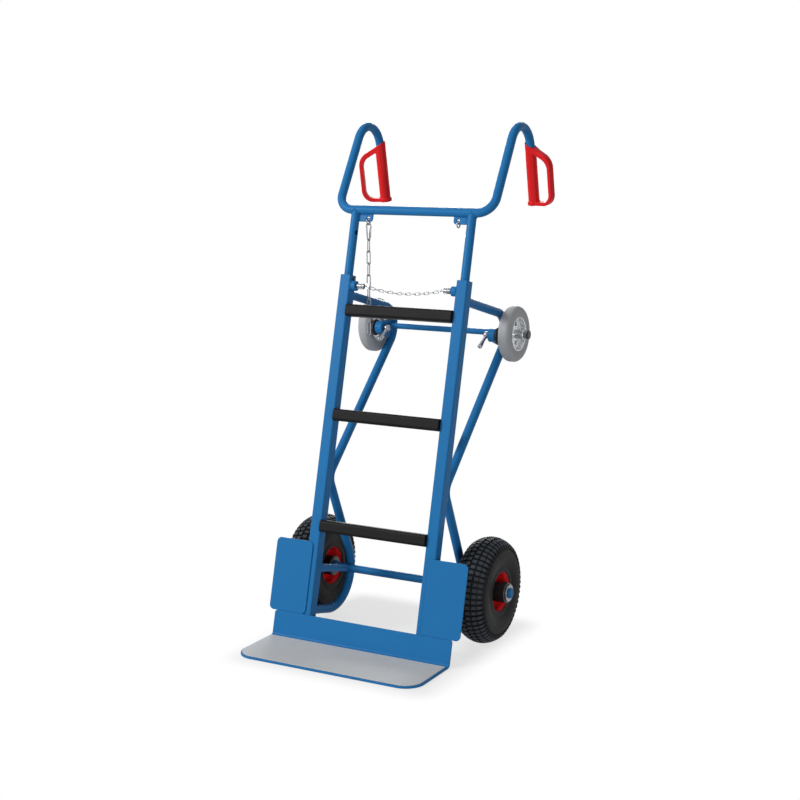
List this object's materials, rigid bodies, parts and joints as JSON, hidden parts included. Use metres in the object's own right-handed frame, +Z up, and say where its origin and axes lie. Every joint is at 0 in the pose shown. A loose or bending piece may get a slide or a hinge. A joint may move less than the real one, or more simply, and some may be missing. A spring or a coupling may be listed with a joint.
{
  "type": "appliance hand truck",
  "caption": "Leaning hand truck of square tube with toe plate, padded rungs, air tyres, braked rear support wheels and a telescoping bow with guarded grips.",
  "frame": {"origin": "middle of the toe plate's underside, on the floor the truck stands on", "axes": "+X to the truck's right as the user stands behind it, +Y to the back, from the toe plate towards the grips, +Z up; the rails lean back 14 degrees from +Z"},
  "size_m": [0.6066, 0.708, 1.2511],
  "materials": {
    "frame_blue": "satin powder coat",
    "profile_black": "soft profile",
    "lining_grey": "matt anti-slip",
    "red_plastic": "moulded",
    "black_plastic": "moulded",
    "tyre_black": "treaded",
    "tube_rubber": "butyl",
    "zinc": "bright zinc plated",
    "galvanised": "galvanised",
    "support_rubber": "grey tread",
    "spring_steel": "oiled",
    "bush_white": "plain bearing plastic"
  },
  "bodies": {
    "frame": {"toe_plate": "frame_blue", "side_rail_left": "frame_blue", "side_rail_right": "frame_blue", "wheel_guard_left": "frame_blue", "wheel_guard_right": "frame_blue", "rung_tubes": "frame_blue", "rear_strut_left": "frame_blue", "rear_strut_right": "frame_blue", "axle_braces": "frame_blue", "main_axle": "frame_blue", "axle_collars": "frame_blue", "axle_caps": "frame_blue", "support_bracket_left": "frame_blue", "support_bracket_right": "frame_blue", "lock_boss_left": "frame_blue", "lock_boss_right": "frame_blue", "support_axle": "frame_blue", "rung_profile_top": "profile_black", "rung_profile_middle": "profile_black", "rung_profile_bottom": "profile_black", "toe_plate_lining": "lining_grey", "support_caps": "black_plastic", "leg_guides": "black_plastic", "axle_washers": "zinc", "support_spacers": "zinc", "lock_chain": "zinc", "lock_springs": "spring_steel"},
    "main_wheel_left": {"tyre_left": "tyre_black", "inner_tube_left": "tube_rubber", "wheel_rim_left": "red_plastic", "wheel_hub_left": "black_plastic", "wheel_bush_left": "bush_white"},
    "support_wheel_left": {"support_tyre_left": "support_rubber", "support_rim_left": "galvanised", "support_bush_left": "bush_white"},
    "lock_pin_left_body": {"lock_pin_left": "zinc"},
    "brake_lever_left_body": {"brake_lever_left": "zinc"},
    "brake_pad_left_body": {"brake_pad_left": "tube_rubber"},
    "main_wheel_right": {"tyre_right": "tyre_black", "inner_tube_right": "tube_rubber", "wheel_rim_right": "red_plastic", "wheel_hub_right": "black_plastic", "wheel_bush_right": "bush_white"},
    "support_wheel_right": {"support_tyre_right": "support_rubber", "support_rim_right": "galvanised", "support_bush_right": "bush_white"},
    "lock_pin_right_body": {"lock_pin_right": "zinc"},
    "brake_lever_right_body": {"brake_lever_right": "zinc"},
    "brake_pad_right_body": {"brake_pad_right": "tube_rubber"},
    "bow": {"handle_bow": "frame_blue", "bow_leg_left": "frame_blue", "bow_leg_right": "frame_blue", "bow_gussets": "frame_blue", "grip_left": "red_plastic", "grip_right": "red_plastic", "leg_plugs": "black_plastic", "bow_rings": "zinc", "snap_hook": "zinc", "load_chain": "zinc"}
  },
  "joints": [
    {"name": "main_wheel_left_spin", "type": "hinge", "parent": "frame", "child": "main_wheel_left", "pos_m": [-0.238, 0.30374, 0.13], "axis": [1, 0, 0], "continuous": true},
    {"name": "main_wheel_right_spin", "type": "hinge", "parent": "frame", "child": "main_wheel_right", "pos_m": [0.238, 0.30374, 0.13], "axis": [1, 0, 0], "continuous": true},
    {"name": "support_wheel_left_spin", "type": "hinge", "parent": "frame", "child": "support_wheel_left", "pos_m": [-0.1995, 0.52426, 0.72925], "axis": [1, 0, 0], "continuous": true},
    {"name": "support_wheel_right_spin", "type": "hinge", "parent": "frame", "child": "support_wheel_right", "pos_m": [0.1995, 0.52426, 0.72925], "axis": [1, 0, 0], "continuous": true},
    {"name": "bow_slide", "type": "slide", "parent": "frame", "child": "bow", "axis": [0, 0.2419, 0.9703], "range_m": [-0.133, 0]},
    {"name": "lock_pin_left_slide", "type": "slide", "parent": "frame", "child": "lock_pin_left_body", "axis": [-1, 0, 0], "range_m": [0, 0.0035]},
    {"name": "lock_pin_right_slide", "type": "slide", "parent": "frame", "child": "lock_pin_right_body", "axis": [1, 0, 0], "range_m": [0, 0.0035]},
    {"name": "brake_lever_left_turn", "type": "hinge", "parent": "frame", "child": "brake_lever_left_body", "pos_m": [-0.1427, 0.4857, 0.72752], "axis": [1, 0, 0], "range_deg": [0, 75]},
    {"name": "brake_lever_right_turn", "type": "hinge", "parent": "frame", "child": "brake_lever_right_body", "pos_m": [0.1427, 0.4857, 0.72752], "axis": [1, 0, 0], "range_deg": [0, 75]},
    {"name": "brake_pad_left_press", "type": "slide", "parent": "frame", "child": "brake_pad_left_body", "axis": [-1, 0, 0], "range_m": [0, 0.005]},
    {"name": "brake_pad_right_press", "type": "slide", "parent": "frame", "child": "brake_pad_right_body", "axis": [1, 0, 0], "range_m": [0, 0.005]}
  ],
  "couplings": [
    {"joint": "lock_pin_right_slide", "follows": "lock_pin_left_slide", "ratio": 1},
    {"joint": "brake_pad_left_press", "follows": "brake_lever_left_turn", "m_per_rad": 0.0038},
    {"joint": "brake_pad_right_press", "follows": "brake_lever_right_turn", "m_per_rad": 0.0038}
  ]
}
